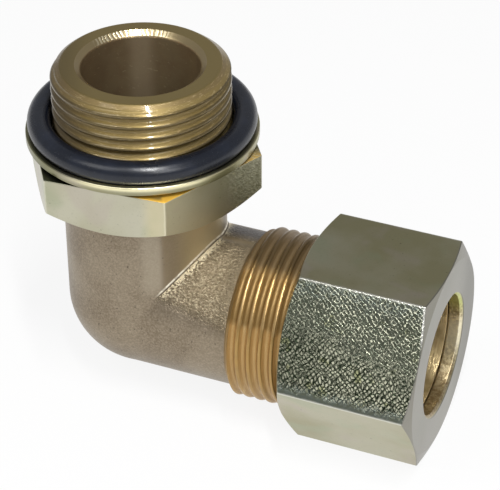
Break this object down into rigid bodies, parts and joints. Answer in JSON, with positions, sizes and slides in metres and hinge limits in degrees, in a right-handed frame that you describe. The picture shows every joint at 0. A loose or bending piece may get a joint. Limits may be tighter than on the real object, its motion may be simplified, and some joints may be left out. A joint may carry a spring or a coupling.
{
  "type": "male elbow fitting",
  "caption": "Right-angle brass pipe fitting: threaded male stud with lock nut, washer and O-ring, and a side arm with a compression nut for a tube.",
  "frame": {"origin": "middle of the seat plane where the retaining washer meets the port, on the stud's axis", "axes": "+Z along the stud's axis, out of its threaded end; +X along the side arm's axis, out of the compression nut"},
  "size_m": [0.0665, 0.0346, 0.0548],
  "materials": {
    "forged_brass": "forged and sand-textured on the elbow, machined on the threads",
    "black_rubber": "smooth black nitrile",
    "plated_washer": "yellow-chromated zinc",
    "plated_lock_nut": "yellow-chromated zinc, slightly iridescent",
    "plated_compression_nut": "yellow-chromated zinc with a crackled face",
    "ring_brass": "turned"
  },
  "bodies": {
    "elbow": {"elbow_body": "forged_brass"},
    "seal": {"retaining_washer": "plated_washer", "o_ring": "black_rubber"},
    "locknut": {"lock_nut": "plated_lock_nut"},
    "ferrule": {"compression_ring": "ring_brass"},
    "tubenut": {"compression_nut": "plated_compression_nut"}
  },
  "joints": [
    {"name": "seal_slide", "type": "slide", "parent": "elbow", "child": "seal", "axis": [0, 0, 1], "range_m": [0, 0.00545]},
    {"name": "lock_nut_turn", "type": "hinge", "parent": "seal", "child": "locknut", "pos_m": [0, 0, -0.0056], "axis": [0, 0, 1], "range_deg": [0, 1080]},
    {"name": "ring_slide", "type": "slide", "parent": "elbow", "child": "ferrule", "axis": [1, 0, 0], "range_m": [-0.00273, 0.00727]},
    {"name": "compression_nut_turn", "type": "hinge", "parent": "ferrule", "child": "tubenut", "pos_m": [0.0377, 0, -0.0293], "axis": [1, 0, 0], "range_deg": [-540, 1440]}
  ],
  "couplings": [
    {"joint": "seal_slide", "follows": "lock_nut_turn", "m_per_rad": 0.00028871},
    {"joint": "ring_slide", "follows": "compression_nut_turn", "m_per_rad": 0.00028871}
  ]
}
